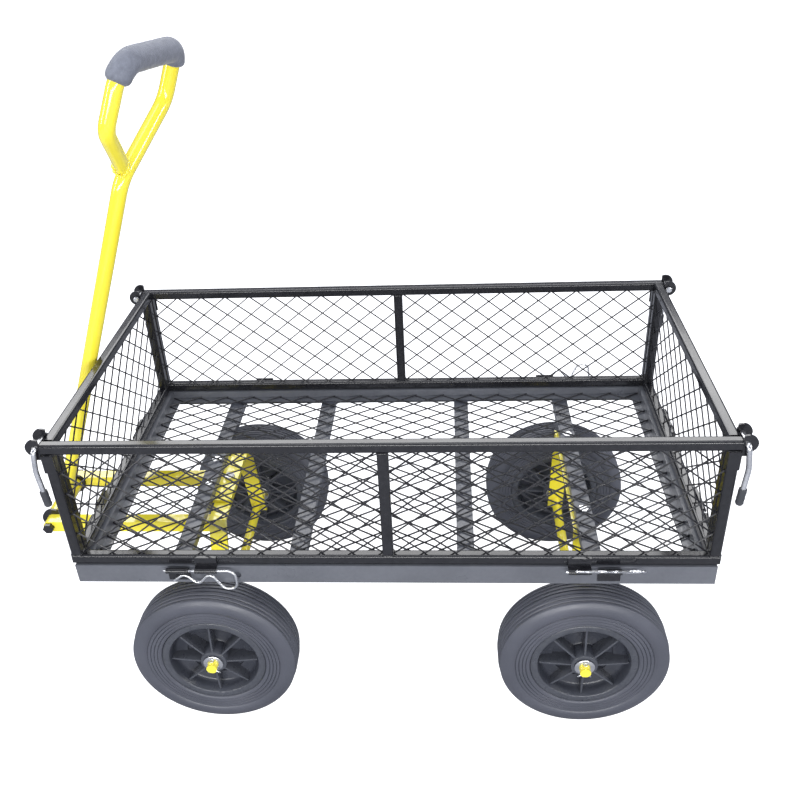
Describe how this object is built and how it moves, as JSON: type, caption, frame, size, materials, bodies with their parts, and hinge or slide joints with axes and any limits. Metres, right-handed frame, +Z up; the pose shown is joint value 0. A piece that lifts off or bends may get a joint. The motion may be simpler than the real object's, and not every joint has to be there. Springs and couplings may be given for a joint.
{
  "type": "garden cart",
  "caption": "Black steel mesh garden cart with hinged drop-down mesh sides, solid black wheels, and a yellow steered axle and loop handle with a grey foam grip",
  "frame": {"origin": "On the ground, under the centre of the overall bounding box.", "axes": "+X along the cart from the handle end towards the rear panel, +Y across from the left side (the near side, clips seen) to the right side, +Z up; the wheels stand on Z = 0."},
  "size_m": [1.0585, 0.5522, 0.9902],
  "materials": {
    "black_enamel": "gloss",
    "tray_enamel": "satin",
    "yellow_enamel": "gloss",
    "zinc": "satin",
    "foam": "matte",
    "vinyl": "satin",
    "tyre_rubber": "matte",
    "rim_plastic": "satin"
  },
  "bodies": {
    "chassis": {"tray_rail_front": "tray_enamel", "tray_rail_rear": "tray_enamel", "tray_rail_left": "tray_enamel", "tray_rail_right": "tray_enamel", "deck_mesh": "black_enamel", "cross_members": "tray_enamel", "tray_hinge_knuckles": "black_enamel", "front_panel_frame": "black_enamel", "front_panel_mesh": "black_enamel", "front_panel_fittings": "black_enamel", "front_panel_clips": "zinc", "rear_bracket": "yellow_enamel", "rear_axle": "yellow_enamel", "rear_axle_washers": "zinc", "bracket_bolts": "zinc", "swivel_plate": "yellow_enamel", "king_bolt": "zinc"},
    "left_panel": {"left_panel_frame": "black_enamel", "left_panel_mesh": "black_enamel", "left_panel_fittings": "black_enamel"},
    "right_panel": {"right_panel_frame": "black_enamel", "right_panel_mesh": "black_enamel", "right_panel_fittings": "black_enamel"},
    "rear_panel": {"rear_panel_frame": "black_enamel", "rear_panel_mesh": "black_enamel", "rear_panel_fittings": "black_enamel"},
    "steered_axle": {"front_bracket": "yellow_enamel", "front_axle": "yellow_enamel", "front_axle_washers": "zinc", "tongue_arms": "yellow_enamel", "tongue_bolt": "black_enamel"},
    "handle": {"handle_tube": "yellow_enamel", "handle_grip": "foam", "handle_sleeve": "yellow_enamel"},
    "latch_front_left": {"latch_rod_front_left": "zinc", "latch_grip_front_left": "vinyl"},
    "latch_front_right": {"latch_rod_front_right": "zinc", "latch_grip_front_right": "vinyl"},
    "latch_rear_left": {"latch_rod_rear_left": "zinc", "latch_grip_rear_left": "vinyl"},
    "latch_rear_right": {"latch_rod_rear_right": "zinc", "latch_grip_rear_right": "vinyl"},
    "left_front_clip": {"clip_left_front": "zinc"},
    "left_rear_clip": {"clip_left_rear": "zinc"},
    "right_front_clip": {"clip_right_front": "zinc"},
    "right_rear_clip": {"clip_right_rear": "zinc"},
    "rear_left_clip": {"clip_rear_left": "zinc"},
    "rear_right_clip": {"clip_rear_right": "zinc"},
    "wheel_front_left": {"tyre_front_left": "tyre_rubber", "rim_front_left": "rim_plastic", "bush_front_left": "rim_plastic"},
    "wheel_front_right": {"tyre_front_right": "tyre_rubber", "rim_front_right": "rim_plastic", "bush_front_right": "rim_plastic"},
    "wheel_rear_left": {"tyre_rear_left": "tyre_rubber", "rim_rear_left": "rim_plastic", "bush_rear_left": "rim_plastic"},
    "wheel_rear_right": {"tyre_rear_right": "tyre_rubber", "rim_rear_right": "rim_plastic", "bush_rear_right": "rim_plastic"}
  },
  "joints": [
    {"name": "steering", "type": "hinge", "parent": "chassis", "child": "steered_axle", "pos_m": [-0.2215, 0, 0.2953], "axis": [0, 0, 1], "range_deg": [-7.5, 7.5]},
    {"name": "handle_fold", "type": "hinge", "parent": "steered_axle", "child": "handle", "pos_m": [-0.5145, 0, 0.254], "axis": [0, -1, 0], "range_deg": [0, 120]},
    {"name": "left_panel_fold", "type": "hinge", "parent": "chassis", "child": "left_panel", "pos_m": [0.0565, -0.251, 0.3275], "axis": [1, 0, 0], "range_deg": [0, 180]},
    {"name": "right_panel_fold", "type": "hinge", "parent": "chassis", "child": "right_panel", "pos_m": [0.0565, 0.251, 0.3275], "axis": [-1, 0, 0], "range_deg": [0, 180]},
    {"name": "rear_panel_fold", "type": "hinge", "parent": "chassis", "child": "rear_panel", "pos_m": [0.515, 0, 0.3275], "axis": [0, 1, 0], "range_deg": [0, 180]},
    {"name": "latch_front_left_turn", "type": "hinge", "parent": "chassis", "child": "latch_front_left", "pos_m": [-0.399, -0.2265, 0.531], "axis": [0, 1, 0], "range_deg": [0, 150]},
    {"name": "latch_front_right_turn", "type": "hinge", "parent": "chassis", "child": "latch_front_right", "pos_m": [-0.399, 0.2265, 0.531], "axis": [0, 1, 0], "range_deg": [0, 150]},
    {"name": "latch_rear_left_turn", "type": "hinge", "parent": "rear_panel", "child": "latch_rear_left", "pos_m": [0.512, -0.2265, 0.531], "axis": [0, -1, 0], "range_deg": [0, 150]},
    {"name": "latch_rear_right_turn", "type": "hinge", "parent": "rear_panel", "child": "latch_rear_right", "pos_m": [0.512, 0.2265, 0.531], "axis": [0, -1, 0], "range_deg": [0, 150]},
    {"name": "left_front_clip_pull", "type": "slide", "parent": "chassis", "child": "left_front_clip", "axis": [1, 0, 0], "range_m": [0, 0.1]},
    {"name": "right_front_clip_pull", "type": "slide", "parent": "chassis", "child": "right_front_clip", "axis": [1, 0, 0], "range_m": [0, 0.1]},
    {"name": "left_rear_clip_turn", "type": "hinge", "parent": "chassis", "child": "left_rear_clip", "pos_m": [0.35, -0.251, 0.3275], "axis": [1, 0, 0], "range_deg": [0, 135]},
    {"name": "right_rear_clip_turn", "type": "hinge", "parent": "chassis", "child": "right_rear_clip", "pos_m": [0.35, 0.251, 0.3275], "axis": [-1, 0, 0], "range_deg": [0, 135]},
    {"name": "rear_left_clip_pull", "type": "slide", "parent": "chassis", "child": "rear_left_clip", "axis": [0, -1, 0], "range_m": [0, 0.1]},
    {"name": "rear_right_clip_pull", "type": "slide", "parent": "chassis", "child": "rear_right_clip", "axis": [0, -1, 0], "range_m": [0, 0.1]},
    {"name": "wheel_front_left_spin", "type": "hinge", "parent": "steered_axle", "child": "wheel_front_left", "pos_m": [-0.2215, -0.208, 0.127], "axis": [0, 1, 0], "continuous": true},
    {"name": "wheel_front_right_spin", "type": "hinge", "parent": "steered_axle", "child": "wheel_front_right", "pos_m": [-0.2215, 0.208, 0.127], "axis": [0, 1, 0], "continuous": true},
    {"name": "wheel_rear_left_spin", "type": "hinge", "parent": "chassis", "child": "wheel_rear_left", "pos_m": [0.3395, -0.208, 0.127], "axis": [0, 1, 0], "continuous": true},
    {"name": "wheel_rear_right_spin", "type": "hinge", "parent": "chassis", "child": "wheel_rear_right", "pos_m": [0.3395, 0.208, 0.127], "axis": [0, 1, 0], "continuous": true}
  ],
  "couplings": [
    {"joint": "left_rear_clip_turn", "follows": "left_panel_fold", "ratio": 0.75},
    {"joint": "right_rear_clip_turn", "follows": "right_panel_fold", "ratio": 0.75}
  ]
}
